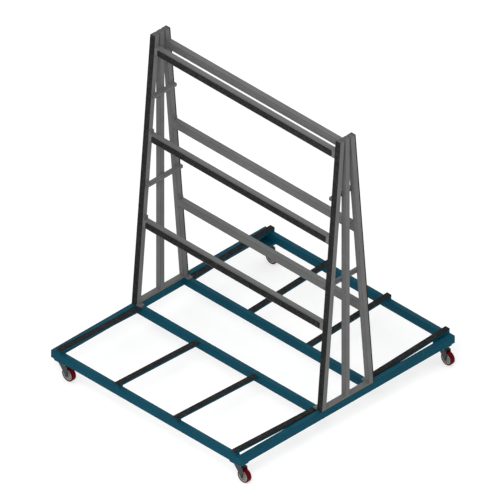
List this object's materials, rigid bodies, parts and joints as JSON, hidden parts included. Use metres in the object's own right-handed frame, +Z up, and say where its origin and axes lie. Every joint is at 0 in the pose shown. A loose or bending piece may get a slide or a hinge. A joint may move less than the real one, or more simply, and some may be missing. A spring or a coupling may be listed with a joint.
{
  "type": "two-sided transport trolley",
  "caption": "Two-sided transport trolley for upright panes and boards: a wheeled tube base with sloping padded support bars and a tall A-shaped rack with padded rails.",
  "frame": {"origin": "middle of the bounding box at floor level", "axes": "+X along the trolley, towards the end the casters trail to; +Y across it towards the rear loading side; +Z up"},
  "size_m": [1.806, 2, 2.2978],
  "materials": {
    "teal_paint": "semi-gloss teal powder coat on steel tube",
    "grey_paint": "semi-gloss grey powder coat on steel tube",
    "black_rubber": "matt black ribbed rubber strip",
    "black_plastic": "matt black moulded insert",
    "zinc_steel": "bright zinc-plated pressed steel",
    "hub_nylon": "satin light grey moulded wheel centre",
    "red_tread": "satin dark red polyurethane tread"
  },
  "bodies": {
    "trolley": {"base_front_beam": "teal_paint", "base_rear_beam": "teal_paint", "base_left_beam": "teal_paint", "base_right_beam": "teal_paint", "inner_front_beam": "teal_paint", "inner_rear_beam": "teal_paint", "front_bar_1": "teal_paint", "front_bar_2": "teal_paint", "front_bar_3": "teal_paint", "front_bar_4": "teal_paint", "rear_bar_1": "teal_paint", "rear_bar_2": "teal_paint", "rear_bar_3": "teal_paint", "rear_bar_4": "teal_paint", "bar_risers": "teal_paint", "bar_strips": "black_rubber", "left_front_leg": "grey_paint", "left_rear_leg": "grey_paint", "right_front_leg": "grey_paint", "right_rear_leg": "grey_paint", "left_post": "grey_paint", "right_post": "grey_paint", "left_foot_bar": "grey_paint", "right_foot_bar": "grey_paint", "left_lower_tie": "grey_paint", "left_upper_tie": "grey_paint", "right_lower_tie": "grey_paint", "right_upper_tie": "grey_paint", "front_lower_rail": "grey_paint", "front_middle_rail": "grey_paint", "front_upper_rail": "grey_paint", "rear_lower_rail": "grey_paint", "rear_middle_rail": "grey_paint", "rear_upper_rail": "grey_paint", "frame_strips": "black_rubber", "frame_lugs": "grey_paint", "tube_plugs": "black_plastic", "frame_bolts": "zinc_steel", "caster_pads": "teal_paint", "caster_bolts": "zinc_steel", "front_left_plate": "zinc_steel", "front_right_plate": "zinc_steel", "rear_left_plate": "zinc_steel", "rear_right_plate": "zinc_steel"},
    "front_left_caster": {"front_left_fork": "zinc_steel", "front_left_axle": "zinc_steel"},
    "front_left_wheel": {"front_left_hub": "hub_nylon", "front_left_tyre": "red_tread"},
    "front_right_caster": {"front_right_fork": "zinc_steel", "front_right_axle": "zinc_steel"},
    "front_right_wheel": {"front_right_hub": "hub_nylon", "front_right_tyre": "red_tread"},
    "rear_left_caster": {"rear_left_fork": "zinc_steel", "rear_left_axle": "zinc_steel"},
    "rear_left_wheel": {"rear_left_hub": "hub_nylon", "rear_left_tyre": "red_tread"},
    "rear_right_caster": {"rear_right_fork": "zinc_steel", "rear_right_axle": "zinc_steel"},
    "rear_right_wheel": {"rear_right_hub": "hub_nylon", "rear_right_tyre": "red_tread"}
  },
  "joints": [
    {"name": "front_left_swivel", "type": "hinge", "parent": "trolley", "child": "front_left_caster", "pos_m": [-0.837, -0.949, 0.118], "axis": [0, 0, 1], "continuous": true},
    {"name": "front_left_roll", "type": "hinge", "parent": "front_left_caster", "child": "front_left_wheel", "pos_m": [-0.785, -0.949, 0.05], "axis": [0, 1, 0], "continuous": true},
    {"name": "front_right_swivel", "type": "hinge", "parent": "trolley", "child": "front_right_caster", "pos_m": [0.801, -0.949, 0.118], "axis": [0, 0, 1], "continuous": true},
    {"name": "front_right_roll", "type": "hinge", "parent": "front_right_caster", "child": "front_right_wheel", "pos_m": [0.853, -0.949, 0.05], "axis": [0, 1, 0], "continuous": true},
    {"name": "rear_left_swivel", "type": "hinge", "parent": "trolley", "child": "rear_left_caster", "pos_m": [-0.837, 0.949, 0.118], "axis": [0, 0, 1], "continuous": true},
    {"name": "rear_left_roll", "type": "hinge", "parent": "rear_left_caster", "child": "rear_left_wheel", "pos_m": [-0.785, 0.949, 0.05], "axis": [0, 1, 0], "continuous": true},
    {"name": "rear_right_swivel", "type": "hinge", "parent": "trolley", "child": "rear_right_caster", "pos_m": [0.801, 0.949, 0.118], "axis": [0, 0, 1], "continuous": true},
    {"name": "rear_right_roll", "type": "hinge", "parent": "rear_right_caster", "child": "rear_right_wheel", "pos_m": [0.853, 0.949, 0.05], "axis": [0, 1, 0], "continuous": true}
  ]
}
